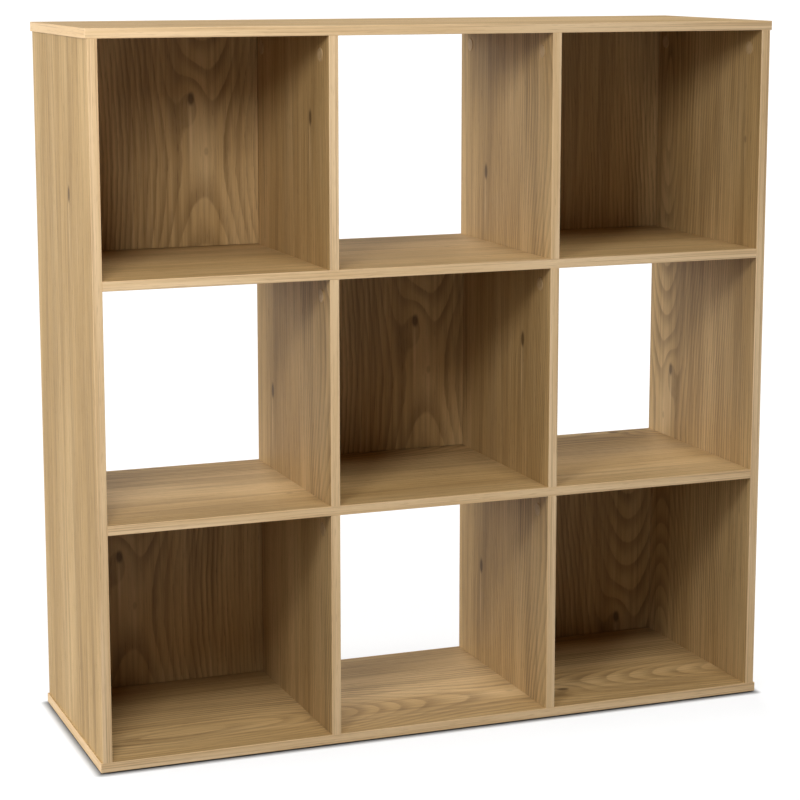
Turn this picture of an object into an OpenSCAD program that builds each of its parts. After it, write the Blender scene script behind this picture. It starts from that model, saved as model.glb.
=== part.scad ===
// Nine-cube storage unit in light oak board: a knock-down carcass of flat boards, held by
// cam fittings, wood screws and dowels. The four corner cubes and the centre cube have a
// back panel, the other four are open right through.
// +Z is up and the open front faces -Y. The origin is on the floor, under the unit's centre.

/* [Cubes] */
// Clear width of one cube
cell_w = 286; // [260:1:340]
// Clear height of one cube
cell_h = 286; // [260:1:340]
// Overall depth, front edge to rear edge
depth = 300; // [280:1:400]

/* [Boards] */
// Thickness of every board
board_t = 12; // [12:1:18]
// How far the top and bottom panels reach past each side panel
overhang = 2.5; // [0:0.5:10]
// Thickness of the edge banding
band_t = 0.5; // [0.4:0.1:2]
// Gap round each back panel
back_gap = 0.4; // [0.2:0.1:1]

/* [Cam fittings] */
// Diameter of a cam lock's pocket
cam_d = 15; // [12:1:15]
// From a cam's centre to the end of its board
cam_setback = 24; // [20:1:34]
// From a cam's centre to the front or rear edge
cam_inset = 32; // [32:1:50]
// Diameter of the oak-coloured cover cap
cap_d = 17; // [16:0.5:20]
// How far a cap stands off the board
cap_t = 1; // [0.5:0.1:1.5]
// Diameter of the cam bolt's head
bolt_head_d = 6.4; // [6:0.1:6.6]
// Diameter of the cam bolt's thread
bolt_thread_d = 5; // [4:0.5:6]

/* [Screws and dowels] */
// Diameter of the wood screws
screw_d = 4; // [3.5:0.5:4.5]
// Length of the wood screws
screw_len = 40; // [35:1:45]
// Diameter of a screw's countersunk head
screw_head_d = 7.6; // [7:0.2:9]
// Diameter of the dowels
dowel_d = 6; // [5:1:6]
// Length of dowel in the end of a board
dowel_grip = 22; // [16:1:24]
// Length of dowel or bolt thread in the face of a board
face_grip = 8; // [6:1:9]

/* [Glides] */
// Diameter of a floor glide
glide_d = 18; // [14:1:22]
// Height of a floor glide
glide_h = 2; // [1.5:0.5:5]
// Length of the nail in a floor glide
nail_len = 8; // [6:1:9]

/* [Hidden] */

$fn = 48;
eps = 0.1;       // cuts start this far outside the wood
slack = 0.1;     // a hole is this much wider than what it holds
end_space = 0.5; // a blind hole is this much deeper than what it holds

pitch_x = cell_w + board_t;         // one cube to the next, across
pitch_z = cell_h + board_t;         // one cube to the next, up
inner_w = 3 * cell_w + 2 * board_t; // between the side panels
outer_w = inner_w + 2 * board_t;    // over the side panels
panel_w = outer_w + 2 * overhang;   // top and bottom panels
side_h = 3 * cell_h + 2 * board_t;  // height of a side panel
base_z = glide_h;                   // underside of the bottom panel
floor_z = base_z + board_t;         // floor of the lowest row
top_z = floor_z + side_h;           // underside of the top panel

side_x = inner_w / 2 + board_t / 2; // middle of a side panel
div_x = pitch_x / 2;                // middle of a divider
upright_x = [-side_x, -div_x, div_x, side_x];
cam_y = [-(depth / 2 - cam_inset), depth / 2 - cam_inset];
screw_y = [-depth / 4, depth / 4];
back_y = depth / 2 - board_t / 2;   // middle of a back panel
back_dowel_x = cell_w / 3;          // back dowels, from their cube's centre
cam_depth = board_t / 2 + 4;        // depth of a cam's pocket
band_y = depth / 2 - band_t;        // where the wood stops and the banding starts

glide_end_inset = 7;                // from the outer face of a side panel to a glide's middle
glide_front_inset = 15;             // from the front or rear edge to a glide's middle
glide_x = [-(side_x - glide_end_inset), -div_x, div_x, side_x - glide_end_inset];
glide_y = [-(depth / 2 - glide_front_inset), depth / 2 - glide_front_inset];
nail_d = 1.6;                       // nail in a floor glide
bolt_hole_d = bolt_head_d + 0.8;    // hole that a cam bolt's head passes along

// Back panels stand in these cubes: [column, row], counted from the lower left
BACKED = [[0, 0], [2, 0], [1, 1], [0, 2], [2, 2]];

function column_x(i) = (i - 1) * pitch_x;      // centre of a column of cubes
function row_z(j) = floor_z + j * pitch_z;     // floor of a row of cubes
function shelf_z(k) = row_z(k) - board_t / 2;  // middle of the board under row k
function cap_side(x) = x < -div_x - 1 ? 1 : -1; // the face a cam goes in: 1 is +X

// ---- shared shapes ----

// A block between two corners
module block(low, high) {
    translate(low) cube(high - low);
}

// A round hole or pin that starts at a point and runs up or along +X
module round_up(d, start, len) {
    translate(start) cylinder(d = d, h = len);
}

module round_along(d, start, len) {
    translate(start) rotate([0, 90, 0]) cylinder(d = d, h = len);
}

// ---- places: each puts its children where one kind of fitting goes ----

// Cams in the top end of an upright. Local +Z runs into the wood, local -X is up.
module top_cam_places(x, z_end) {
    for (y = cam_y)
        translate([x + cap_side(x) * board_t / 2, y, z_end - cam_setback])
            rotate([0, -90 * cap_side(x), 0])
                rotate([0, 0, cap_side(x) > 0 ? 180 : 0])
                    children();
}

// Cams in the underside of a shelf. Local +Z runs into the wood, local -X to its end.
module shelf_cam_places(z_mid) {
    for (s = [-1, 1], y = cam_y)
        translate([s * (inner_w / 2 - cam_setback), y, z_mid - board_t / 2])
            rotate([0, 0, s > 0 ? 180 : 0])
                children();
}

// Every cam in the unit
module all_cam_places() {
    for (x = upright_x) top_cam_places(x, top_z) children();
    for (x = [-div_x, div_x], j = [0, 1]) top_cam_places(x, row_z(j) + cell_h) children();
    for (k = [1, 2]) shelf_cam_places(shelf_z(k)) children();
}

// Every cam bolt: the origin is at its head, +Z runs to its thread
module all_bolt_places() {
    for (x = upright_x, y = cam_y)
        translate([x, y, top_z - cam_setback]) children();
    for (x = [-div_x, div_x], j = [0, 1], y = cam_y)
        translate([x, y, row_z(j) + cell_h - cam_setback]) children();
    for (k = [1, 2], s = [-1, 1], y = cam_y)
        translate([s * (inner_w / 2 - cam_setback), y, shelf_z(k)])
            rotate([0, 90 * s, 0]) children();
}

// Every wood screw: the origin is on the underside of the board it comes up through
module all_screw_places() {
    for (x = upright_x, y = screw_y) translate([x, y, base_z]) children();
    for (x = [-div_x, div_x], k = [1, 2], y = screw_y)
        translate([x, y, shelf_z(k) - board_t / 2]) children();
}

module glide_places() {
    for (x = glide_x, y = glide_y) translate([x, y, 0]) children();
}

// ---- drillings ----

// Top end of an upright: two cam pockets with their bolt holes, and a dowel hole
module top_end_drillings(x, z_end) {
    top_cam_places(x, z_end)
        translate([0, 0, -eps]) cylinder(d = cam_d, h = cam_depth + eps);
    for (y = cam_y)
        round_up(bolt_hole_d, [x, y, z_end - cam_setback], cam_setback + eps);
    round_up(dowel_d + slack, [x, 0, z_end - dowel_grip - end_space], dowel_grip + 1);
}

// Foot of an upright: two screw holes and a dowel hole
module foot_drillings(x, z_end) {
    for (y = screw_y)
        round_up(screw_d + slack, [x, y, z_end - eps], screw_len - board_t + end_space + eps);
    round_up(dowel_d + slack, [x, 0, z_end - eps], dowel_grip + end_space + eps);
}

// Countersunk screw holes right through a flat board, from its underside
module screw_drillings(xs, z_low) {
    for (x = xs, y = screw_y) {
        round_up(screw_d + slack, [x, y, z_low - eps], board_t + 2 * eps);
        translate([x, y, z_low - eps])
            cylinder(d1 = screw_head_d + slack + 2 * eps, d2 = screw_d + slack,
                     h = (screw_head_d - screw_d) / 2 + eps);
    }
}

// Blind holes in an underside, for the cam bolts of the uprights below it
module bolt_drillings(xs, z_low) {
    for (x = xs, y = cam_y)
        round_up(bolt_thread_d + slack, [x, y, z_low - eps], face_grip + end_space + eps);
}

// Blind holes for the dowels of the back panels that stand above or hang below a board
module back_dowel_drillings(z_low, row_above, row_below) {
    for (cube = BACKED, s = [-1, 1]) {
        x = column_x(cube[0]) + s * back_dowel_x;
        if (cube[1] == row_above)
            round_up(dowel_d + slack, [x, back_y, z_low + board_t - face_grip - end_space],
                     face_grip + 1);
        if (cube[1] == row_below)
            round_up(dowel_d + slack, [x, back_y, z_low - eps], face_grip + end_space + eps);
    }
}

// ---- boards ----

module oak() {
    color([0.74, 0.60, 0.42]) children();
}

module top_panel() {
    oak() difference() {
        block([-panel_w / 2 + band_t, -band_y, top_z], [panel_w / 2 - band_t, band_y, top_z + board_t]);
        bolt_drillings(upright_x, top_z);
        for (x = upright_x)
            round_up(dowel_d + slack, [x, 0, top_z - eps], face_grip + end_space + eps);
        back_dowel_drillings(top_z, 3, 2);
    }
}

module bottom_panel() {
    oak() difference() {
        block([-panel_w / 2 + band_t, -band_y, base_z], [panel_w / 2 - band_t, band_y, floor_z]);
        screw_drillings(upright_x, base_z);
        for (x = upright_x)
            round_up(dowel_d + slack, [x, 0, floor_z - face_grip - end_space], face_grip + 1);
        back_dowel_drillings(base_z, 0, -1);
        glide_places() translate([0, 0, base_z - eps])
            cylinder(d = nail_d + slack, h = nail_len + end_space + eps);
    }
}

// side is -1 for the left one, 1 for the right one
module side_panel(side) {
    x = side * side_x;
    face = side * inner_w / 2;
    depth_in = face_grip + end_space;
    start = side > 0 ? face - eps : face - depth_in;
    oak() difference() {
        block([x - board_t / 2, -band_y, floor_z], [x + board_t / 2, band_y, top_z]);
        top_end_drillings(x, top_z);
        foot_drillings(x, floor_z);
        for (k = [1, 2]) {
            for (y = cam_y)
                round_along(bolt_thread_d + slack, [start, y, shelf_z(k)], depth_in + eps);
            round_along(dowel_d + slack, [start, 0, shelf_z(k)], depth_in + eps);
        }
    }
}

// A full-width shelf: k is the row that stands on it
module shelf(k) {
    z_low = shelf_z(k) - board_t / 2;
    oak() difference() {
        block([-inner_w / 2, -band_y, z_low], [inner_w / 2, band_y, z_low + board_t]);
        shelf_cam_places(shelf_z(k))
            translate([0, 0, -eps]) cylinder(d = cam_d, h = cam_depth + eps);
        for (s = [-1, 1]) {
            bolt_start = s > 0 ? inner_w / 2 - cam_setback : -inner_w / 2 - eps;
            dowel_start = s > 0 ? inner_w / 2 - dowel_grip - end_space : -inner_w / 2 - eps;
            for (y = cam_y)
                round_along(bolt_hole_d, [bolt_start, y, shelf_z(k)], cam_setback + eps);
            round_along(dowel_d + slack, [dowel_start, 0, shelf_z(k)], dowel_grip + end_space + eps);
        }
        bolt_drillings([-div_x, div_x], z_low);
        screw_drillings([-div_x, div_x], z_low);
        for (x = [-div_x, div_x])
            round_up(dowel_d + slack, [x, 0, z_low - eps], board_t + 2 * eps);
        back_dowel_drillings(z_low, k, k - 1);
    }
}

// side is -1 or 1, row counts from the floor
module divider(side, row) {
    x = side * div_x;
    oak() difference() {
        block([x - board_t / 2, -band_y, row_z(row)], [x + board_t / 2, band_y, row_z(row) + cell_h]);
        top_end_drillings(x, row_z(row) + cell_h);
        foot_drillings(x, row_z(row));
    }
}

// A back panel fills its cube, flush with the rear edges
module back_panel(column, row) {
    x = column_x(column);
    z = row_z(row);
    half = cell_w / 2 - back_gap;
    oak() difference() {
        block([x - half, depth / 2 - board_t, z + back_gap], [x + half, depth / 2, z + cell_h - back_gap]);
        for (s = [-1, 1]) {
            round_up(dowel_d + slack, [x + s * back_dowel_x, back_y, z], dowel_grip + end_space);
            round_up(dowel_d + slack, [x + s * back_dowel_x, back_y, z + cell_h - dowel_grip - end_space],
                     dowel_grip + end_space);
        }
    }
}

// ---- edge banding ----

module banding() {
    color([0.82, 0.69, 0.52]) children();
}

// A strip on the front edge and one on the rear edge of the board between two corners
module front_and_rear_bands(x_low, x_high, z_low, z_high) {
    block([x_low, -depth / 2, z_low], [x_high, -band_y, z_high]);
    block([x_low, band_y, z_low], [x_high, depth / 2, z_high]);
}

module top_and_base_edge_bands() {
    banding() for (z = [base_z, top_z])
        front_and_rear_bands(-panel_w / 2, panel_w / 2, z, z + board_t);
}

module panel_end_bands() {
    banding() for (z = [base_z, top_z], s = [-1, 1])
        translate([s * (panel_w / 2 - band_t / 2), 0, z + board_t / 2])
            cube([band_t, 2 * band_y, board_t], center = true);
}

module side_edge_bands() {
    banding() for (s = [-1, 1])
        front_and_rear_bands(s * side_x - board_t / 2, s * side_x + board_t / 2, floor_z, top_z);
}

module shelf_edge_bands() {
    banding() for (k = [1, 2])
        front_and_rear_bands(-inner_w / 2, inner_w / 2, row_z(k) - board_t, row_z(k));
}

module divider_edge_bands() {
    banding() for (x = [-div_x, div_x], j = [0, 1, 2])
        front_and_rear_bands(x - board_t / 2, x + board_t / 2, row_z(j), row_z(j) + cell_h);
}

// ---- fittings ----

// Zinc cam. It goes into its pocket along +Z and locks a bolt that comes in along -X.
// The bolt's head sits in a round chamber, its neck in a lower window through the wall.
module cam_lock() {
    cam_low = 0.6;                  // top of the cam, below the board's face
    chamber_h = bolt_head_d + 0.4;
    window_h = 4.6;
    chamber_d = 10.4;
    mid = board_t / 2;
    cross = [7.6, 1.4, 1.9];        // length, width and depth of each slot of the cross
    difference() {
        translate([0, 0, cam_low]) cylinder(d = cam_d - 0.2, h = cam_depth - 0.1 - cam_low);
        translate([0, 0, mid - chamber_h / 2]) cylinder(d = chamber_d, h = chamber_h);
        // the window is open over the half turn that faces the board's end
        translate([-cam_d, -cam_d / 2, mid - window_h / 2]) cube([cam_d, cam_d, window_h]);
        // the head goes in through this side when the cam is unlocked
        translate([-chamber_h / 2, -cam_d, mid - chamber_h / 2])
            cube([chamber_h, cam_d, chamber_h]);
        // cross for the screwdriver
        for (a = [0, 90]) rotate([0, 0, a])
            translate([-cross.x / 2, -cross.y / 2, 0]) cube(cross);
    }
}

module cam_locks() {
    color([0.70, 0.70, 0.72]) all_cam_places() cam_lock();
}

// Steel bolt along +Z: a ball head, a neck, a shank, a collar that stops against the next
// board's face and a coarse thread
module cam_bolt() {
    neck_r = 2;
    shank_r = 3;
    neck_end = cam_d / 2 + 0.5;
    collar_t = 1.5;
    thread_r = bolt_thread_d / 2;
    root_r = thread_r - 0.7;
    turns = floor(face_grip / 2);
    step = (face_grip - 1) / turns;
    thread = [for (i = [0 : turns - 1], p = [[0, 0], [0.4, 1], [0.7, 1], [1, 0]])
        [root_r + p[1] * (thread_r - root_r), cam_setback + (i + p[0]) * step]];
    rotate_extrude() {
        intersection() {
            circle(d = bolt_head_d);
            translate([0, -bolt_head_d / 2]) square([bolt_head_d, bolt_head_d]);
        }
        square([neck_r, neck_end]);
        translate([0, neck_end]) square([shank_r, cam_setback - collar_t - neck_end]);
        translate([0, cam_setback - collar_t]) square([bolt_hole_d / 2 - 0.2, collar_t]);
        polygon(concat([[0, cam_setback - eps], [root_r, cam_setback - eps]], thread,
                       [[0.6, cam_setback + face_grip], [0, cam_setback + face_grip]]));
    }
}

module cam_bolts() {
    color([0.78, 0.77, 0.72]) all_bolt_places() cam_bolt();
}

// Oak-coloured cap with a round rim. A cross under it plugs into the cam.
module cam_cover_cap() {
    rib = [7, 1, 1.5];              // the two crossed ribs that plug into the cam
    rotate_extrude() {
        square([cap_d / 2 - cap_t, cap_t]);
        intersection() {
            translate([cap_d / 2 - cap_t, 0]) circle(r = cap_t);
            square([cap_d, cap_t]);
        }
    }
    for (a = [0, 90]) rotate([0, 0, a])
        translate([-rib.x / 2, -rib.y / 2, -rib.z]) cube([rib.x, rib.y, rib.z + eps]);
}

module cam_cover_caps() {
    color([0.85, 0.74, 0.58]) all_cam_places() rotate([180, 0, 0]) cam_cover_cap();
}

// Countersunk wood screw with a cross slot, pointing up from the underside of its board
module wood_screw() {
    head_h = (screw_head_d - screw_d) / 2;
    tip_h = 5;
    difference() {
        rotate_extrude() polygon([
            [0, 0], [screw_head_d / 2, 0], [screw_d / 2, head_h], [screw_d / 2, screw_len - tip_h],
            [0.3, screw_len], [0, screw_len]
        ]);
        for (a = [0, 90]) rotate([0, 0, a])
            translate([-2, -0.5, -eps]) cube([4, 1, 1.2]);
    }
}

module wood_screws() {
    color([0.80, 0.72, 0.45]) all_screw_places() wood_screw();
}

// Dowel that stands on the origin, with chamfered ends
module dowel(len) {
    r = dowel_d / 2;
    rotate_extrude() polygon([
        [0, 0], [r - 0.8, 0], [r, 0.8], [r, len - 0.8], [r - 0.8, len], [0, len]
    ]);
}

module short_dowels() {
    short_len = face_grip + dowel_grip;
    color([0.88, 0.76, 0.56]) {
        for (x = upright_x) {
            translate([x, 0, floor_z - face_grip]) dowel(short_len);
            translate([x, 0, top_z - dowel_grip]) dowel(short_len);
        }
        for (k = [1, 2], s = [-1, 1])
            translate([s * (inner_w / 2 - dowel_grip), 0, shelf_z(k)])
                rotate([0, 90 * s, 0]) dowel(short_len);
        for (cube = BACKED, s = [-1, 1]) {
            x = column_x(cube[0]) + s * back_dowel_x;
            z = row_z(cube[1]);
            translate([x, back_y, z - face_grip]) dowel(short_len);
            translate([x, back_y, z + cell_h - dowel_grip]) dowel(short_len);
        }
    }
}

// These go right through a shelf, into the divider above it and the one below it
module through_dowels() {
    color([0.88, 0.76, 0.56])
        for (x = [-div_x, div_x], k = [1, 2])
            translate([x, 0, shelf_z(k) - board_t / 2 - dowel_grip])
                dowel(board_t + 2 * dowel_grip);
}

// ---- glides ----

module floor_glides() {
    edge = 0.6;
    color([0.20, 0.18, 0.16]) glide_places() difference() {
        rotate_extrude() polygon([
            [0, 0], [glide_d / 2 - edge, 0], [glide_d / 2, edge], [glide_d / 2, glide_h], [0, glide_h]
        ]);
        translate([0, 0, glide_h / 2]) cylinder(d = nail_d + slack, h = glide_h);
    }
}

module glide_nails() {
    color([0.72, 0.72, 0.72]) glide_places() translate([0, 0, glide_h / 2])
        cylinder(d = nail_d, h = glide_h / 2 + nail_len);
}

top_panel();
bottom_panel();
side_panel(-1);  // left_side_panel
side_panel(1);  // right_side_panel
shelf(2);  // upper_shelf
shelf(1);  // lower_shelf
divider(-1, 2);  // upper_left_divider
divider(1, 2);  // upper_right_divider
divider(-1, 1);  // middle_left_divider
divider(1, 1);  // middle_right_divider
divider(-1, 0);  // lower_left_divider
divider(1, 0);  // lower_right_divider
back_panel(0, 2);  // upper_left_back_panel
back_panel(2, 2);  // upper_right_back_panel
back_panel(1, 1);  // centre_back_panel
back_panel(0, 0);  // lower_left_back_panel
back_panel(2, 0);  // lower_right_back_panel
top_and_base_edge_bands();
panel_end_bands();
side_edge_bands();
shelf_edge_bands();
divider_edge_bands();
cam_locks();
cam_bolts();
cam_cover_caps();
wood_screws();
short_dowels();
through_dowels();
floor_glides();
glide_nails();
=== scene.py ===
# %% [markdown]
# # A cube storage unit in light oak board
#
# This lesson dresses a finished CAD model of a three-by-three cube unit: flat boards of
# particle board, printed with an oak pattern, whose edges are covered with thin strips. The
# CAD model already has every board, fitting and hole at its real size, so the work here is
# the surface: soft edges, the oak print, and the light of a studio.

from math import pi, radians

import bmesh
import bpy
from mathutils import Euler, Matrix, Vector


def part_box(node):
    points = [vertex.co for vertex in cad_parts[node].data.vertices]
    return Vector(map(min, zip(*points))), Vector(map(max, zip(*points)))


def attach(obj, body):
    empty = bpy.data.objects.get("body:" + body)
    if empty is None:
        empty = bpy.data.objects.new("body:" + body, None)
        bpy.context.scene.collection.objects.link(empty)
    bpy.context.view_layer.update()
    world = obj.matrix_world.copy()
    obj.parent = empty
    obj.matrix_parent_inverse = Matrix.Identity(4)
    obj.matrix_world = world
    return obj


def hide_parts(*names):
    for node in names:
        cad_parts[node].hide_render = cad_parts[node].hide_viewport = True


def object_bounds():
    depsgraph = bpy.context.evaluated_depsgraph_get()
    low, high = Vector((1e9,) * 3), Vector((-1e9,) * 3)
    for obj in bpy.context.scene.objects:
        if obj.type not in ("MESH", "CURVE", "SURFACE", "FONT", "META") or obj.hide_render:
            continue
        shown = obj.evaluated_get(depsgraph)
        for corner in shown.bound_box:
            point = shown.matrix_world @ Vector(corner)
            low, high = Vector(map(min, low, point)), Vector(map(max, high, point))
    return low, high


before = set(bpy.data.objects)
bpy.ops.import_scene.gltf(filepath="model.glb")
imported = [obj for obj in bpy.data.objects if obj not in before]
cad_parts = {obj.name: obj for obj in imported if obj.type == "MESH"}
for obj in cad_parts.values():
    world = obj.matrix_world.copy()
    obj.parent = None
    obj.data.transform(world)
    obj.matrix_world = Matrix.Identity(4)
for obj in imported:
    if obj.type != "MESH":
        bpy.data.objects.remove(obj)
cad_box = [list(corner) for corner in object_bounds()]
print("CAD nodes:", len(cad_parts), "box:", cad_box)

# %% [markdown]
# ## The camera
#
# The unit is seen from its front left and from above, through a long lens, as furniture is
# usually shown. A long lens keeps the near corner from looking too big. A small downward
# shift centres the unit in the picture without tilting the camera further.

# %% Camera
def add_camera(place, turn, tilt, lens, shift):
    """A camera that looks along +Y, turned to the right and tilted up by so many degrees."""
    data = bpy.data.cameras.new("studio_camera")
    data.lens = lens
    data.shift_y = shift
    camera = bpy.data.objects.new("studio_camera", data)
    camera.location = place
    camera.rotation_euler = Euler((radians(90 + tilt), 0, radians(-turn)))
    bpy.context.scene.collection.objects.link(camera)
    bpy.context.scene.camera = camera
    return camera


camera = add_camera(place=(-1.089, -2.823, 0.990), turn=21.0, tilt=-9.66, lens=104.5, shift=-0.06)
print("camera at", tuple(camera.location))

# %% [markdown]
# Colours and finishes are made of many small shader nodes, wired together. This helper class
# keeps them readable: most of its methods add a node or two and return the output.

# %% Helper for shader nodes
class Nodes:
    """Adds nodes to a material and wires them. put returns a node, and finish nothing."""

    def __init__(self, material):
        material.use_nodes = True
        self.tree = material.node_tree
        self.shader = self.tree.nodes["Principled BSDF"]

    def put(self, kind, inputs, **settings):
        node = self.tree.nodes.new(kind)
        for name, value in settings.items():
            setattr(node, name, value)
        for key, value in inputs.items():
            if isinstance(value, bpy.types.NodeSocket):
                self.tree.links.new(value, node.inputs[key])
            else:
                node.inputs[key].default_value = value
        return node

    def math(self, operation, a, b=0.0, c=0.0):
        return self.put("ShaderNodeMath", {0: a, 1: b, 2: c}, operation=operation).outputs[0]

    def plus(self, a, b):
        return self.math("ADD", a, b)

    def minus(self, a, b):
        return self.math("SUBTRACT", a, b)

    def times(self, a, b):
        return self.math("MULTIPLY", a, b)

    def scaled(self, value, by, plus):
        return self.math("MULTIPLY_ADD", value, by, plus)

    def vector(self, x, y, z=0.0):
        return self.put("ShaderNodeCombineXYZ", {0: x, 1: y, 2: z}).outputs[0]

    def noise(self, u, v, along, across, detail=2.0, roughness=0.5, seed=0.0):
        """Noise from 0 to 1, with so many cells to a metre along and across the grain."""
        place = self.vector(self.times(u, along), self.times(v, across), seed)
        inputs = {"Vector": place, "Scale": 1.0, "Detail": detail, "Roughness": roughness}
        return self.put("ShaderNodeTexNoise", inputs).outputs["Fac"]

    def mound(self, u, v, middle, reach):
        """A smooth hill, 1 at middle and near 0 at twice its reach along and across the grain."""
        a = self.math("DIVIDE", self.minus(u, middle[0]), reach[0])
        b = self.math("DIVIDE", self.minus(v, middle[1]), reach[1])
        square = self.scaled(a, a, self.times(b, b))
        return self.math("EXPONENT", self.times(square, -1.0))

    def range(self, value, low, high, to_low=0.0, to_high=1.0):
        """Goes smoothly from to_low, where value is low, to to_high, where it is high."""
        inputs = {"Value": value, "From Min": low, "From Max": high, "To Min": to_low, "To Max": to_high}
        return self.put("ShaderNodeMapRange", inputs, interpolation_type="SMOOTHSTEP").outputs[0]

    def mix(self, factor, a, b):
        """Colour a where factor is 0 and b where it is 1."""
        node = self.put("ShaderNodeMix", {"Factor": factor}, data_type="RGBA")
        for socket, value in ((node.inputs[6], a), (node.inputs[7], b)):
            if isinstance(value, bpy.types.NodeSocket):
                self.tree.links.new(value, socket)
            else:
                socket.default_value = (*value, 1.0)
        return node.outputs[2]

    def stain(self, wood, color, where, strength):
        """Lays a colour over wood where `where` is near 1, and never thicker than strength."""
        return self.mix(self.times(where, strength), wood, color)

    def finish(self, color, roughness, bump, bump_height):
        """Wires the results into the shader. The bump is bump_height deep, in metres."""
        self.tree.links.new(color, self.shader.inputs["Base Color"])
        self.tree.links.new(roughness, self.shader.inputs["Roughness"])
        node = self.put("ShaderNodeBump", {"Height": bump, "Strength": 1.0, "Distance": bump_height})
        self.tree.links.new(node.outputs["Normal"], self.shader.inputs["Normal"])


print("node helper ready")

# %% [markdown]
# ## The studio
#
# The unit stands in a white room, on a white table of milky acrylic that also glows, so that
# shadows on it stay faint. Table and room are white to the camera but light the unit far less
# than the lamps do: a room as bright as it looks would light the backs of the cubes from
# straight in front, and they would lose their depth. A Light Path node tells the two apart:
# its Is Camera Ray output is 1 for what the camera sees, and 0 for light on its way.

# %% White room
def add_room(seen, lighting):
    """A world that the camera sees at one brightness and that lights the unit at another."""
    world = bpy.data.worlds.new("white_room")
    bpy.context.scene.world = world
    world.use_nodes = True
    tree = world.node_tree
    light = tree.nodes["Background"]
    light.inputs["Color"].default_value = (1.0, 1.0, 1.0, 1.0)
    light.inputs["Strength"].default_value = lighting
    backdrop = tree.nodes.new("ShaderNodeBackground")
    backdrop.inputs["Color"].default_value = (1.0, 1.0, 1.0, 1.0)
    backdrop.inputs["Strength"].default_value = seen
    path = tree.nodes.new("ShaderNodeLightPath")
    mix = tree.nodes.new("ShaderNodeMixShader")
    tree.links.new(path.outputs["Is Camera Ray"], mix.inputs["Fac"])
    tree.links.new(light.outputs["Background"], mix.inputs[1])
    tree.links.new(backdrop.outputs["Background"], mix.inputs[2])
    tree.links.new(mix.outputs["Shader"], tree.nodes["World Output"].inputs["Surface"])


add_room(seen=1.0, lighting=0.02)
bpy.context.scene.view_settings.view_transform = "Standard"
print("white room ready")

# %% [markdown]
# The table is one wide plane. Its glow carries a painted shadow: the glow is put out beneath
# the unit, where real light can't get, comes back within a finger's width of its base, and
# stays a little dim for a hand's width more. That painted shadow, and the lamps' own shadows,
# set the unit firmly on the table.

# %% Glowing table
# Painted shadow on the table: its glow is dimmed under the unit and near its base.
PAINTED_SHADOW_RIM = 0.012       # the glow comes back over so many metres from the base
PAINTED_SHADE_MARGIN = 0.16      # and is a little dim over so many
PAINTED_SHADE_LEVEL = 0.92       # down to this share of it


def add_table(half_width, white, glow, footprint):
    """footprint is the (x, y) half size of the unit's base: the glow is dimmed under and near it, a
    painted shadow.
    """
    bpy.ops.object.select_all(action="DESELECT")
    bpy.ops.mesh.primitive_plane_add(size=2 * half_width, location=(0, 0, 0))
    table = bpy.context.active_object
    table.name = "studio_table"
    material = bpy.data.materials.new("table_glow_painted_shadow")
    material.use_nodes = True
    shader = material.node_tree.nodes["Principled BSDF"]
    shader.inputs["Base Color"].default_value = (white, white, white, 1.0)
    shader.inputs["Roughness"].default_value = 0.9
    shader.inputs["Specular IOR Level"].default_value = 0.1
    shader.inputs["Emission Color"].default_value = (1.0, 1.0, 1.0, 1.0)
    n = Nodes(material)
    place = n.put("ShaderNodeSeparateXYZ", {0: n.put("ShaderNodeTexCoord", {}).outputs["Object"]})
    past = []
    for axis, half in enumerate(footprint):
        beyond = n.minus(n.math("ABSOLUTE", place.outputs[axis]), half)
        past.append(n.math("MAXIMUM", beyond, 0.0))
    squares = n.scaled(past[0], past[0], n.times(past[1], past[1]))
    away = n.math("SQRT", squares)
    # The painted shadow: the glow is put out under the unit and fades back in near its base.
    painted_contact_shadow = n.range(away, 0.0, PAINTED_SHADOW_RIM)
    painted_wide_shade = n.range(away, 0.0, PAINTED_SHADE_MARGIN, to_low=PAINTED_SHADE_LEVEL)
    dimmed = n.times(n.times(painted_contact_shadow, painted_wide_shade), glow)
    seen = n.put("ShaderNodeLightPath", {}).outputs["Is Camera Ray"]
    n.tree.links.new(n.times(dimmed, seen), shader.inputs["Emission Strength"])
    table.data.materials.append(material)
    print(table.name, "glows at", glow)


base = (cad_box[1][0], cad_box[1][1])
add_table(half_width=60.0, white=0.30, glow=0.78, footprint=base)

# %% [markdown]
# Six broad lamps stand far off, so they are suns with a wide disc. A disc of 26 degrees gives
# soft shadows: the edge of a shadow spreads over nearly half its distance from the board that
# casts it. Each lamp has a compass angle, from the front round to the left, a height above
# the horizon, and the brightness that a white card facing it would have. Most of the light
# comes from the sides and from above, so it reaches the outer sides and the fronts of the
# shelves but not the backs of the cubes.

# %% Far lamps
# compass and height in degrees, brightness
LAMPS = {
    "high_front_lamp": (0, 60, 0.45),
    "low_front_lamp": (50, 15, 0.10),
    "left_lamp": (95, 12, 0.60),
    "rear_left_lamp": (130, 12, 0.25),
    "high_rear_lamp": (180, 50, 0.45),
    "right_lamp": (-90, 25, 0.35),
}


def add_far_lamp(name, compass, height, brightness, disc=26):
    """A sun whose disc is so many degrees wide."""
    data = bpy.data.lights.new(name, "SUN")
    data.energy = brightness * pi
    data.angle = radians(disc)
    lamp = bpy.data.objects.new(name, data)
    lamp.rotation_euler = Euler((radians(90 - height), 0, radians(-compass)))
    bpy.context.scene.collection.objects.link(lamp)


for name, (compass, height, brightness) in LAMPS.items():
    add_far_lamp(name, compass, height, brightness)
print("far lamps:", len(LAMPS))

# %% [markdown]
# One small lamp stands close, in front of the upper left cube and a little above it. Being
# close, it lights that cube much more than the ones below and to the right, and it throws
# the shadow of the top panel on the first back panel. It is aimed at a place just inside the
# cube's opening and a little below its middle.

# %% Near lamp
AIM_FORWARD = 0.10     # ahead of the unit's middle
AIM_DOWN = 0.03        # below the cube's middle


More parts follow.
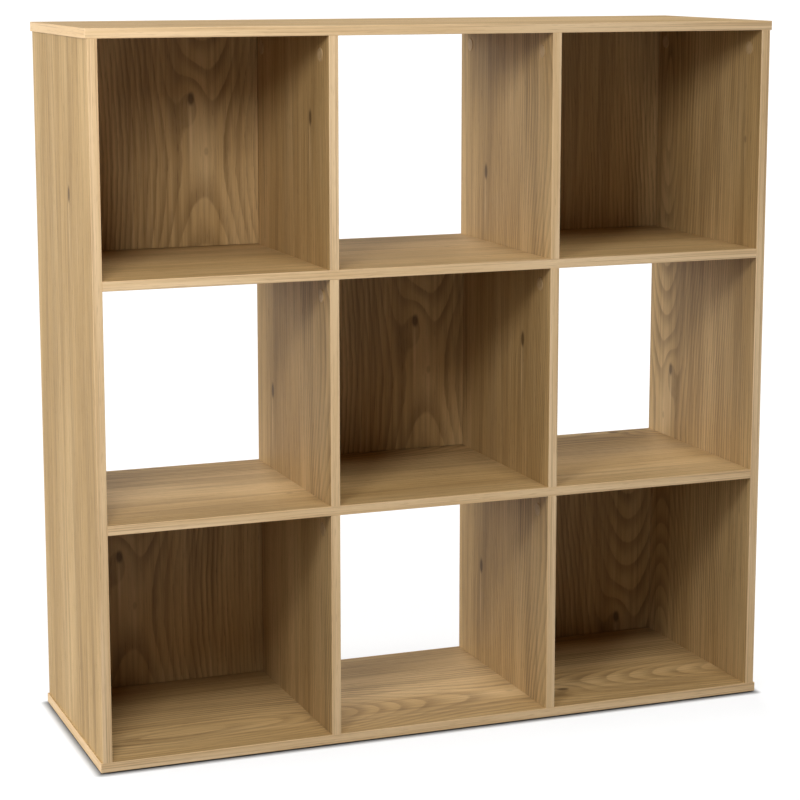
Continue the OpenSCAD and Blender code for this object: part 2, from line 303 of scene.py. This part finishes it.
def add_near_lamp(name, target, compass, height, distance, size, brightness):
    """A square lamp that gives a white card at the target, facing it, its brightness."""
    data = bpy.data.lights.new(name, "AREA")
    data.shape = "SQUARE"
    data.size = size
    data.energy = brightness * pi ** 2 * distance ** 2
    lamp = bpy.data.objects.new(name, data)
    turn = Euler((radians(90 - height), 0, radians(-compass)))
    lamp.rotation_euler = turn
    lamp.location = Vector(target) + turn.to_matrix() @ Vector((0, 0, distance))
    bpy.context.scene.collection.objects.link(lamp)
    return lamp


cube_low, cube_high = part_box("upper_left_back_panel")
cube_middle = (Vector(cube_low) + Vector(cube_high)) / 2
aim = (cube_middle.x, -AIM_FORWARD, cube_middle.z - AIM_DOWN)
near = add_near_lamp("near_lamp", aim, compass=30, height=28, distance=1.3, size=0.35, brightness=0.55)
print("near lamp at", [round(c, 3) for c in near.location])

# %% [markdown]
# ## The oak print
#
# The boards aren't solid oak: a picture of oak is printed on paper, and the same print
# comes back on board after board. So the oak is one flat pattern in two directions, u along
# the grain and v across it, both in metres, and each board is a piece cut from it. Such a
# pattern is drawn from the board's UV map, which also keeps the grain in line on the edges.

# %% [markdown]
# A board sawn from a log shows the tree's rings. Close to the middle of the log they make
# tall arches, called cathedrals, and further out they run straight. Both come from one
# formula: a ring's number is the distance from the log's heart, and the board lies a little
# to one side of the heart, by a depth that changes slowly along the board. Slow noise bends
# the lines, as a growing tree does.

# %% Ring lines of the oak print
PRINT_REPEAT = 0.90    # knots and arches come back after so many metres, fine grain doesn't
RINGS_PER_METRE = 112.0
RINGS_CLOSER = 1.6     # and this share more for each metre from the heart
WANDER = 0.036         # slow noise moves the lines sideways over this width
RIPPLE = 0.0046        # and quick noise over this one
HEART_DEPTH = 0.040    # the board's mean distance from the log's heart
HEART_SWING = 0.034    # how far it changes along the board, either way
HEART_NOISE = 0.016    # and how far noise adds to it
LINE_PEAK = 0.10       # a ring's line is darkest at this share of the ring
LINE_END = 0.75        # and has faded out at this one


def ring_lines(n, u, v, swell):
    """Dark lines from 0 to 1, sharp on one side and fading on the other, as oak's rings are."""
    wander = n.noise(u, v, along=2.2, across=6.0, detail=1.0, seed=1.7)
    wander = n.scaled(wander, WANDER, -WANDER / 2)
    ripple = n.noise(u, v, along=28.0, across=60.0, detail=2.0, seed=4.2)
    ripple = n.scaled(ripple, RIPPLE, -RIPPLE / 2)
    bent = n.plus(v, n.plus(wander, ripple))
    turn = n.math("SINE", n.times(u, 2 * pi / PRINT_REPEAT))
    depth = n.scaled(turn, HEART_SWING, HEART_DEPTH)
    depth = n.plus(depth, n.times(n.noise(u, v, along=5.0, across=5.0, seed=9.1), HEART_NOISE))
    radius = n.math("SQRT", n.plus(n.times(bent, bent), n.times(depth, depth)))
    closer = n.scaled(radius, n.times(radius, RINGS_CLOSER), radius)
    rings = n.times(n.plus(closer, swell), RINGS_PER_METRE)
    phase = n.math("FRACT", rings)
    rise = n.range(phase, 0.0, LINE_PEAK)
    fall = n.range(phase, LINE_PEAK, LINE_END, to_low=1.0, to_high=0.0)
    return n.times(rise, fall), phase


print("rings to a metre:", RINGS_PER_METRE)

# %% [markdown]
# A knot is where a branch left the trunk. The rings swell round it, its middle is dark, and
# a pale streak runs off from it along the grain. Each knot in the list has its place in the
# print, its size and how strong it is.

# %% Knots of the oak print
# u, v, length, width, strength, all in metres but the last
KNOTS = [
    (0.140, 0.250, 0.034, 0.0085, 1.0),     # the main knot, in straight grain
    (0.298, -0.012, 0.028, 0.0080, 0.9),    # above the middle of the cathedral
    (0.228, 0.008, 0.018, 0.0050, 0.3),     # in the middle of the cathedral
    (0.640, -0.210, 0.016, 0.0045, 0.5),    # a pin knot
]
KNOT_SWELLING = 0.016  # how far a knot's middle pushes the rings outwards
# The pale middle of the cathedral
FLAME_MIDDLE = (0.225, 0.004)
FLAME_REACH = (0.075, 0.018)


def knot_fields(n, u, v):
    """Sums over the knots: the swelling of the rings, the dark heart and the pale streak."""
    swell = heart = streak = 0.0
    for knot_u, knot_v, length, width, strength in KNOTS:
        bulge = n.mound(u, v, (knot_u, knot_v), reach=(length * 1.6, width * 2.6))
        core = n.mound(u, v, (knot_u, knot_v), reach=(length * 0.32, width * 0.62))
        tail = n.mound(u, v, (knot_u - length * 1.3, knot_v), reach=(length * 1.4, width * 0.6))
        swell = n.scaled(bulge, KNOT_SWELLING * strength, swell)
        heart = n.plus(n.range(core, 0.15, 0.75, to_high=strength), heart)
        streak = n.scaled(tail, strength, streak)
    return swell, heart, streak


print("knots in the print:", len(KNOTS))

# %% [markdown]
# Oak's pores are short dark dashes along the grain, thick in the first wood of each ring.
# With them come fine streaks and broad bands of tone. The dashes are slightly pressed into
# the board too, so they also feed the bump, and they are duller than the wood round them.

# %% Oak board material
OAK_LIGHT = (0.650, 0.444, 0.210)
OAK_MID = (0.505, 0.324, 0.132)
OAK_DARK = (0.205, 0.116, 0.038)
OAK_PORE = (0.110, 0.058, 0.020)
OAK_PALE = (0.780, 0.570, 0.310)


def make_oak_board():
    material = bpy.data.materials.new("oak_board_print")
    n = Nodes(material)
    uv = n.put("ShaderNodeUVMap", {}, uv_map="grain").outputs["UV"]
    axes = n.put("ShaderNodeSeparateXYZ", {0: uv})
    board_u, v = axes.outputs[0], axes.outputs[1]
    u = n.math("FLOORED_MODULO", board_u, PRINT_REPEAT)
    swell, heart, streak = knot_fields(n, u, v)
    lines, phase = ring_lines(n, board_u, v, swell)

    patchy = n.noise(board_u, v, along=3.0, across=22.0, detail=2.0, seed=2.9)
    strength = n.range(patchy, 0.30, 0.72, to_low=0.25)
    calm = n.range(n.math("ABSOLUTE", v), 0.10, 0.24, to_low=1.0, to_high=0.62)
    lines = n.times(n.times(lines, strength), calm)
    tone = n.noise(board_u, v, along=1.4, across=11.0, detail=3.0, seed=7.7)
    streaks = n.noise(board_u, v, along=5.0, across=210.0, detail=3.0, roughness=0.6, seed=3.1)
    dashes = n.noise(board_u, v, along=42.0, across=900.0, detail=2.0, roughness=0.6, seed=5.5)
    early_wood = n.range(phase, 0.0, 0.6, to_low=1.0, to_high=0.35)
    pores = n.times(n.range(dashes, 0.56, 0.70), early_wood)

    bands = n.noise(board_u, v, along=1.8, across=55.0, detail=2.0, seed=6.6)
    wood = n.mix(n.range(tone, 0.32, 0.68), OAK_MID, OAK_LIGHT)
    wood = n.stain(wood, OAK_DARK, where=n.range(bands, 0.48, 0.70), strength=0.28)
    wood = n.stain(wood, OAK_DARK, where=n.range(streaks, 0.45, 0.75), strength=0.46)
    wood = n.stain(wood, OAK_PALE, where=n.range(streaks, 0.50, 0.25), strength=0.30)
    flame = n.mound(u, v, FLAME_MIDDLE, FLAME_REACH)
    wood = n.stain(wood, OAK_PALE, where=flame, strength=0.45)
    wood = n.stain(wood, OAK_DARK, where=lines, strength=0.66)
    wood = n.stain(wood, OAK_PORE, where=pores, strength=0.50)
    frayed = n.times(streak, n.range(streaks, 0.62, 0.36, to_low=0.2, to_high=0.8))
    wood = n.mix(frayed, wood, OAK_PALE)
    wood = n.stain(wood, OAK_PORE, where=n.math("MINIMUM", heart, 1.0), strength=0.85)

    roughness = n.scaled(pores, 0.16, 0.46)
    relief = n.minus(n.times(streaks, 0.25), n.times(pores, 0.9))
    n.finish(color=wood, roughness=roughness, bump=relief, bump_height=0.00012)
    n.shader.inputs["Specular IOR Level"].default_value = 0.42
    return material


oak_board = make_oak_board()
print("made", oak_board.name, "with", len(oak_board.node_tree.nodes), "nodes")

# %% [markdown]
# The edges carry a separate strip. Its print is lighter and simpler: straight, close lines
# along the edge, with no rings or knots.

# %% Oak edge strip material
EDGE_LIGHT = (0.880, 0.640, 0.375)
EDGE_MID = (0.750, 0.510, 0.262)
EDGE_DARK = (0.420, 0.250, 0.120)


def make_oak_edge():
    material = bpy.data.materials.new("oak_edge_strip")
    n = Nodes(material)
    uv = n.put("ShaderNodeUVMap", {}, uv_map="grain").outputs["UV"]
    axes = n.put("ShaderNodeSeparateXYZ", {0: uv})
    u, v = axes.outputs[0], axes.outputs[1]
    tone = n.noise(u, v, along=2.6, across=90.0, detail=2.0, seed=1.1)
    lines = n.noise(u, v, along=3.5, across=520.0, detail=3.0, roughness=0.6, seed=6.3)
    dashes = n.noise(u, v, along=45.0, across=1100.0, detail=1.0, seed=8.8)
    pores = n.range(dashes, 0.60, 0.74)
    wood = n.mix(n.range(tone, 0.30, 0.70), EDGE_MID, EDGE_LIGHT)
    wood = n.stain(wood, EDGE_DARK, where=n.range(lines, 0.48, 0.70), strength=0.62)
    wood = n.stain(wood, EDGE_DARK, where=pores, strength=0.35)
    roughness = n.scaled(pores, 0.12, 0.44)
    relief = n.minus(n.times(lines, 0.3), pores)
    n.finish(color=wood, roughness=roughness, bump=relief, bump_height=0.00008)
    return material


oak_edge = make_oak_edge()
print("made", oak_edge.name)

# %% [markdown]
# ## Laying the grain
#
# A carpenter says which way the grain runs on each board and which part of the sheet it is
# cut from. This function does both: it writes a UV map in metres, with u along the grain. On
# a face that looks along the grain, the end of the board, any direction will do. The two
# broad faces of a board are printed from different lengths of the paper, so one is shifted.

# %% Grain map
AXIS = {"x": 0, "y": 1, "z": 2}
OTHER_FACE = 0.37      # shift along the print of faces that look towards +X, +Y or +Z


def lay_grain(piece, along, cut):
    """Gives piece a UV map named grain. cut is where on the print the piece's middle lies."""
    mesh = piece.data
    grain = mesh.uv_layers.new(name="grain")
    corners = [Vector(c) for c in piece.bound_box]
    middle = (corners[0] + corners[6]) / 2
    run = AXIS[along]
    for face in mesh.polygons:
        look = max(range(3), key=lambda i: abs(face.normal[i]))
        u_axis = run if look != run else (run + 1) % 3
        v_axis = 3 - look - u_axis    # the one that is left, because the three add up to 3
        away = OTHER_FACE if face.normal[look] > 0 else 0.0
        for corner in face.loop_indices:
            place = mesh.vertices[mesh.loops[corner].vertex_index].co - middle
            grain.data[corner].uv = (place[u_axis] + cut[0] + away, place[v_axis] + cut[1])


print("grain map ready")

# %% [markdown]
# ## The boards
#
# Each board is a copy of its CAD node, because that brings every hole for its fittings along.
# A CAD mesh is loose triangles, so the copy's doubled points are merged first. Then the edges
# where it meets other boards get a hairline bevel: that is what shows as a thin dark line at
# a real joint. The bevel is made in edit mode, on edges picked by their place.

# %% Copying a CAD node and picking its edges
SAME_POINT = 0.000002  # points closer than this are merged
SAME_PLACE = 0.00001   # a point this close to a plane lies in it


def start_copy(node, name):
    """A copy of a CAD node with its own merged mesh, open in edit mode with nothing selected."""
    bpy.ops.object.select_all(action="DESELECT")
    piece = bpy.data.objects.new(name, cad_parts[node].data.copy())
    bpy.context.scene.collection.objects.link(piece)
    piece.select_set(True)
    bpy.context.view_layer.objects.active = piece
    bpy.ops.object.mode_set(mode="EDIT")
    bpy.ops.mesh.select_all(action="SELECT")
    bpy.ops.mesh.remove_doubles(threshold=SAME_POINT)
    bpy.ops.mesh.select_all(action="DESELECT")
    bpy.ops.mesh.select_mode(type="EDGE")
    return piece


def select_edges(piece, wanted):
    """Selects the edges of the mesh in edit mode for which wanted(end, other_end) is true."""
    mesh = bmesh.from_edit_mesh(piece.data)
    count = 0
    for edge in mesh.edges:
        if wanted(edge.verts[0].co, edge.verts[1].co):
            edge.select_set(True)
            count += 1
    bmesh.update_edit_mesh(piece.data)
    return count


print("copies merge points closer than", SAME_POINT)

# %% [markdown]
# Every finished piece gets its material the same way, and tells the frame which body it moves
# with; the CAD nodes it stands for are hidden.

# %% Dressing a piece
def dress(piece, material, slot, *nodes):
    """Gives a finished piece its material, attaches it to the root body and hides its CAD nodes."""
    piece.data.materials.clear()
    piece.data.materials.append(material)
    for face in piece.data.polygons:
        face.material_index = 0
    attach(piece, "root")
    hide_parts(*nodes)


# %% Board maker
def in_plane(a, b, axis, level):
    """True if both ends of the edge a-b lie at level on axis."""
    return abs(a[axis] - level) < SAME_PLACE and abs(b[axis] - level) < SAME_PLACE


def on_line(a, b, low, high, letters):
    """True if the edge a-b lies in an end plane of the box on every axis that is named."""
    axes = [AXIS[letter] for letter in letters]
    return all(in_plane(a, b, i, low[i]) or in_plane(a, b, i, high[i]) for i in axes)


def make_board(node, along, cut, bevelled, bevel=0.0003):
    """A board with its grain along an axis. bevelled lists pairs of axes, such as zx: the
    edges that lie at an end of both are bevelled."""
    piece = start_copy(node, node + "_board")
    low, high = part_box(node)
    count = 0
    for letters in bevelled:
        count += select_edges(piece, lambda a, b: on_line(a, b, low, high, letters))
    bpy.ops.mesh.bevel(offset=bevel, segments=2, profile=0.5, affect="EDGES")
    bpy.ops.object.mode_set(mode="OBJECT")
    lay_grain(piece, along, cut)
    dress(piece, oak_board, "oak_board", node)
    print(f"{piece.name}: {count} edges bevelled, {len(piece.data.polygons)} faces")


print("board maker ready")

# %% [markdown]
# The uprights have their grain up and down and meet the flat boards at their two ends. The
# flat boards have it from side to side. Where each board is cut from the print is chosen so
# that knots and arches come where the real unit has them. Each pair of numbers is the place
# on the print, in metres along and across the grain, where the board's middle lies.

# %% Uprights
ENDS_OF_UPRIGHT = ["zx"]
UPRIGHTS = {
    "left_side_panel": (-0.109, 0.287),
    "right_side_panel": (0.343, -0.097),
    "upper_left_divider": (0.100, 0.328),
    "upper_right_divider": (0.189, 0.188),
    "middle_left_divider": (0.176, 0.166),
    "middle_right_divider": (0.101, 0.314),
    "lower_left_divider": (0.520, 0.250),
    "lower_right_divider": (0.144, 0.180),
}
for node, cut in UPRIGHTS.items():
    make_board(node, "z", cut, ENDS_OF_UPRIGHT)

# %% Shelves, top and bottom
ENDS_OF_SHELF = ["xz"]
FLAT_BOARDS = {
    "upper_shelf": (0.20, -0.230),
    "lower_shelf": (0.45, -0.150),
    "top_panel": (0.10, 0.300),
    "bottom_panel": (-0.27, 0.072),
}
for node, cut in FLAT_BOARDS.items():
    make_board(node, "x", cut, ENDS_OF_SHELF)

# %% [markdown]
# A back panel sits in its cube with a hair of room all round, so all the edges of its front
# and rear faces are bevelled.

# %% Back panels
EDGES_OF_BACK = ["yx", "yz"]
BACK_PANELS = {
    "upper_left_back_panel": (0.245, -0.063),
    "upper_right_back_panel": (0.400, -0.260),
    "centre_back_panel": (0.260, -0.082),
    "lower_left_back_panel": (0.259, 0.046),
    "lower_right_back_panel": (0.419, -0.101),
}
for node, cut in BACK_PANELS.items():
    make_board(node, "z", cut, EDGES_OF_BACK)

# %% [markdown]
# ## The edge strips
#
# A strip half a millimetre thick is glued to the front and rear edge of each board. Its
# outer corners are scraped round in the factory, and that soft corner catches a fine line of
# light. Each strip starts as a cube at its place. Its outer face is picked by its place and
# the edges round that face are bevelled.

# %% Where the solids of a node are
def loose_boxes(node):
    """The (low, high) corners of each separate solid of a CAD node."""
    mesh = bmesh.new()
    mesh.from_mesh(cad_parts[node].data)
    bmesh.ops.remove_doubles(mesh, verts=mesh.verts, dist=SAME_POINT)
    left = set(mesh.verts)
    boxes = []
    while left:
        reached = [left.pop()]
        island = []
        while reached:
            vert = reached.pop()
            island.append(vert.co.copy())
            for edge in vert.link_edges:
                other = edge.other_vert(vert)
                if other in left:
                    left.remove(other)
                    reached.append(other)
        low = Vector([min(co[i] for co in island) for i in range(3)])
        high = Vector([max(co[i] for co in island) for i in range(3)])
        boxes.append((low, high))
    mesh.free()
    return sorted(boxes, key=lambda box: tuple(round(c, 5) for c in (*box[0], *box[1])))


print("edge strips on the dividers:", len(loose_boxes("divider_edge_bands")))

# %% One strip
def add_strip(low, high, thin, rounding=0.00040):
    """One strip as a cube from low to high. thin is the axis it is thin along."""
    bpy.ops.object.select_all(action="DESELECT")
    middle = (low + high) / 2
    bpy.ops.mesh.primitive_cube_add(size=1.0, location=middle)
    strip = bpy.context.active_object
    strip.scale = high - low
    bpy.ops.object.transform_apply(location=True, rotation=True, scale=True)
    outer = high[thin] if middle[thin] > 0 else low[thin]
    bpy.ops.object.mode_set(mode="EDIT")
    bpy.ops.mesh.select_all(action="DESELECT")
    bpy.ops.mesh.select_mode(type="EDGE")
    select_edges(strip, lambda a, b: in_plane(a, b, thin, outer))
    bpy.ops.mesh.bevel(offset=rounding, segments=3, profile=0.5, affect="EDGES")
    bpy.ops.object.mode_set(mode="OBJECT")
    return strip


def join(pieces, name):
    """Joins the pieces into the first one."""
    bpy.ops.object.select_all(action="DESELECT")
    for piece in pieces:
        piece.select_set(True)
    bpy.context.view_layer.objects.active = pieces[0]
    bpy.ops.object.join()
    pieces[0].name = name
    return pieces[0]


print("strip maker ready")

# %% Edge strips
NEXT_STRIP = (0.31, 0.043)    # each strip is cut so much further along and across the print


def make_strips(node, along, thin):
    strips = []
    for i, (low, high) in enumerate(loose_boxes(node)):
        strip = add_strip(low, high, thin)
        lay_grain(strip, along, cut=(NEXT_STRIP[0] * i, NEXT_STRIP[1] * i))
        strips.append(strip)
    count = len(strips)
    piece = join(strips, node + "_strips")
    dress(piece, oak_edge, "oak_edge_band", node)
    print(f"{piece.name}: {count} strips")


make_strips("top_and_base_edge_bands", "x", thin=AXIS["y"])
make_strips("shelf_edge_bands", "x", thin=AXIS["y"])
make_strips("side_edge_bands", "z", thin=AXIS["y"])
make_strips("divider_edge_bands", "z", thin=AXIS["y"])
make_strips("panel_end_bands", "y", thin=AXIS["x"])

# %% [markdown]
# ## Cover caps
#
# Each cam fitting is hidden by a moulded cap in a plain oak colour. It is a thin disc with a
# round rim and a faint ring pressed into its face. One is modelled from a cylinder: the top
# face is inset and pushed down a little for the ring, and the rim is bevelled. The others
# are copies, turned to sit on their own boards.

# %% Cap material
CAP_MID = (0.50, 0.34, 0.17)
CAP_LIGHT = (0.56, 0.39, 0.21)
CAP_SPECK = (0.40, 0.26, 0.13)


def make_cap_plastic():
    material = bpy.data.materials.new("oak_coloured_plastic")
    n = Nodes(material)
    place = n.put("ShaderNodeTexCoord", {}).outputs["Object"]
    inputs = {"Vector": place, "Scale": 900.0, "Detail": 3.0}
    speckle = n.put("ShaderNodeTexNoise", inputs).outputs["Fac"]
    inputs = {"Vector": place, "Scale": 60.0, "Detail": 2.0}
    cloud = n.put("ShaderNodeTexNoise", inputs).outputs["Fac"]
    color = n.mix(n.range(cloud, 0.35, 0.65), CAP_MID, CAP_LIGHT)
    color = n.stain(color, CAP_SPECK, where=n.range(speckle, 0.55, 0.75), strength=0.25)
    roughness = n.scaled(speckle, 0.15, 0.35)
    n.finish(color=color, roughness=roughness, bump=speckle, bump_height=0.00003)
    return material


cap_plastic = make_cap_plastic()
print("made", cap_plastic.name)

# %% One cap
SMOOTH_BELOW = 35    # edges flatter than so many degrees are shaded smooth


def add_disc(radius, height):
    """A disc that lies on z = 0 at the origin, open in edit mode with nothing selected."""
    bpy.ops.object.select_all(action="DESELECT")
    middle = (0, 0, height / 2)
    bpy.ops.mesh.primitive_cylinder_add(vertices=48, radius=radius, depth=height, location=middle)
    disc = bpy.context.active_object
    bpy.ops.object.transform_apply(location=True, rotation=True, scale=True)
    bpy.ops.object.mode_set(mode="EDIT")
    bpy.ops.mesh.select_all(action="DESELECT")
    bpy.ops.mesh.select_mode(type="EDGE")
    return disc


def add_cap(radius, height):
    """A cap that lies on z = 0 at the origin and faces up."""
    cap = add_disc(radius, height)
    select_edges(cap, lambda a, b: in_plane(a, b, AXIS["z"], height))
    bpy.ops.mesh.bevel(offset=height * 0.6, segments=4, profile=0.5, affect="EDGES")
    bpy.ops.mesh.select_all(action="DESELECT")
    bpy.ops.mesh.select_mode(type="FACE")
    mesh = bmesh.from_edit_mesh(cap.data)
    for face in mesh.faces:
        face.select_set(face.calc_center_median().z > height - SAME_PLACE)
    bmesh.update_edit_mesh(cap.data)
    bpy.ops.mesh.inset(thickness=radius * 0.30)
    bpy.ops.mesh.inset(thickness=radius * 0.06)
    bpy.ops.transform.translate(value=(0, 0, -height * 0.22))
    bpy.ops.mesh.inset(thickness=radius * 0.05)
    bpy.ops.transform.translate(value=(0, 0, height * 0.16))
    bpy.ops.object.mode_set(mode="OBJECT")
    bpy.ops.object.shade_smooth_by_angle(angle=radians(SMOOTH_BELOW))
    return cap


print("cap maker ready")

# %% Cover caps
CAP_STAND = 0.001    # the cap stands so far off its board


def copy_to(pattern, place, turn):
    """A copy of pattern with its own mesh, turned and moved, with its place in its mesh."""
    piece = pattern.copy()
    piece.data = pattern.data.copy()
    bpy.context.scene.collection.objects.link(piece)
    piece.data.transform(Euler(turn).to_matrix().to_4x4())
    piece.data.transform(Matrix.Translation(place))
    return piece


def make_caps(node):
    """Caps under shelves face down, those on the left side panel +X, and all others -X."""
    boxes = loose_boxes(node)
    first_low, first_high = boxes[0]
    radius = max(first_high - first_low) / 2
    pattern = add_cap(radius, CAP_STAND)
    left_side = cad_box[0][0] / 2
    caps = []
    for low, high in boxes:
        middle = (low + high) / 2
        thin = min(range(3), key=lambda i: high[i] - low[i])
        if thin == AXIS["z"]:
            place, turn = (middle.x, middle.y, low.z + CAP_STAND), (pi, 0, 0)
        elif middle.x < left_side:
            place, turn = (high.x - CAP_STAND, middle.y, middle.z), (0, pi / 2, 0)
        else:
            place, turn = (low.x + CAP_STAND, middle.y, middle.z), (0, -pi / 2, 0)
        caps.append(copy_to(pattern, place, turn))
    bpy.data.objects.remove(pattern)
    piece = join(caps, node + "_set")
    dress(piece, cap_plastic, "cap_plastic", node)
    print(f"{piece.name}: {len(boxes)} caps, radius {radius:.4f} m")


make_caps("cam_cover_caps")

# %% [markdown]
# ## Floor glides
#
# Eight low plastic glides keep the bottom panel off the floor. Each is a cylinder whose lower
# rim is bevelled, so that it slides without catching.

# %% Glide material
GLIDE_DARK = (0.035, 0.028, 0.022)
GLIDE_LIGHT = (0.060, 0.048, 0.038)


def make_glide_plastic():
    material = bpy.data.materials.new("glide_brown_plastic")
    n = Nodes(material)
    place = n.put("ShaderNodeTexCoord", {}).outputs["Object"]
    grit = n.put("ShaderNodeTexNoise", {"Vector": place, "Scale": 1400.0, "Detail": 2.0}).outputs["Fac"]
    color = n.mix(n.range(grit, 0.4, 0.7), GLIDE_DARK, GLIDE_LIGHT)
    n.finish(color=color, roughness=n.scaled(grit, 0.2, 0.4), bump=grit, bump_height=0.00004)
    return material


glide_plastic = make_glide_plastic()
print("made", glide_plastic.name)

# %% Glides
def make_glides(node):
    boxes = loose_boxes(node)
    low, high = boxes[0]
    radius, height = (high.x - low.x) / 2, high.z - low.z
    pattern = add_disc(radius, height)
    select_edges(pattern, lambda a, b: in_plane(a, b, AXIS["z"], 0.0))
    bpy.ops.mesh.bevel(offset=height * 0.3, segments=3, profile=0.5, affect="EDGES")
    bpy.ops.object.mode_set(mode="OBJECT")
    bpy.ops.object.shade_smooth_by_angle(angle=radians(SMOOTH_BELOW))
    glides = [copy_to(pattern, ((a.x + b.x) / 2, (a.y + b.y) / 2, a.z), (0, 0, 0)) for a, b in boxes]
    bpy.data.objects.remove(pattern)
    piece = join(glides, node + "_set")
    dress(piece, glide_plastic, "glide_plastic", node)
    print(f"{piece.name}: {len(boxes)} glides")


make_glides("floor_glides")

# %% [markdown]
# ## Inner fittings
#
# The cams, bolts, screws, nails and dowels have their true shapes already, so the CAD nodes
# stay and only get a finish. Metal is a little cloudy and scratched along one direction, and
# beech has short flecks.

# %% Metal
def make_metal(name, dark, light, roughness):
    material = bpy.data.materials.new(name)
    n = Nodes(material)
    place = n.put("ShaderNodeTexCoord", {}).outputs["Object"]
    stretched = n.put("ShaderNodeMapping", {"Vector": place, "Scale": (400.0, 400.0, 3000.0)}).outputs[0]
    inputs = {"Vector": stretched, "Scale": 1.0, "Detail": 3.0}
    scratches = n.put("ShaderNodeTexNoise", inputs).outputs["Fac"]
    cloud = n.put("ShaderNodeTexNoise", {"Vector": place, "Scale": 260.0, "Detail": 3.0}).outputs["Fac"]
    color = n.mix(n.range(cloud, 0.35, 0.65), dark, light)
    rough = n.scaled(scratches, 0.25, roughness)
    n.finish(color=color, roughness=rough, bump=scratches, bump_height=0.00002)
    n.shader.inputs["Metallic"].default_value = 1.0
    return material


bright = make_metal("bright_zinc_plate", dark=(0.58, 0.58, 0.57), light=(0.70, 0.70, 0.69), roughness=0.25)
cast = make_metal("cast_zinc", dark=(0.48, 0.48, 0.50), light=(0.62, 0.62, 0.64), roughness=0.40)
yellow = make_metal("yellow_zinc_plate", dark=(0.62, 0.50, 0.24), light=(0.76, 0.66, 0.38), roughness=0.28)
print("made", bright.name, cast.name, yellow.name)

# %% Beech
BEECH_LIGHT = (0.72, 0.52, 0.32)
BEECH_FLECK = (0.50, 0.31, 0.16)


def make_beech():
    material = bpy.data.materials.new("beech_dowel")
    n = Nodes(material)
    place = n.put("ShaderNodeTexCoord", {}).outputs["Object"]
    stretched = n.put("ShaderNodeMapping", {"Vector": place, "Scale": (1500.0, 1500.0, 220.0)}).outputs[0]
    flecks = n.put("ShaderNodeTexNoise", {"Vector": stretched, "Scale": 1.0, "Detail": 2.0}).outputs["Fac"]
    color = n.mix(n.range(flecks, 0.45, 0.70), BEECH_LIGHT, BEECH_FLECK)
    n.finish(color=color, roughness=n.scaled(flecks, 0.2, 0.5), bump=flecks, bump_height=0.00005)
    return material


beech = make_beech()
print("made", beech.name)

# %% Finishes of the inner fittings
def finish_node(node, material):
    """Gives a CAD node a material and leaves its shape as it is."""
    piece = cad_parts[node]
    for slot in piece.material_slots:
        slot.material = material
    print(node, "finished in", material.name)


finish_node("cam_locks", cast)
finish_node("cam_bolts", bright)
finish_node("glide_nails", bright)
finish_node("wood_screws", yellow)
finish_node("short_dowels", beech)
finish_node("through_dowels", beech)
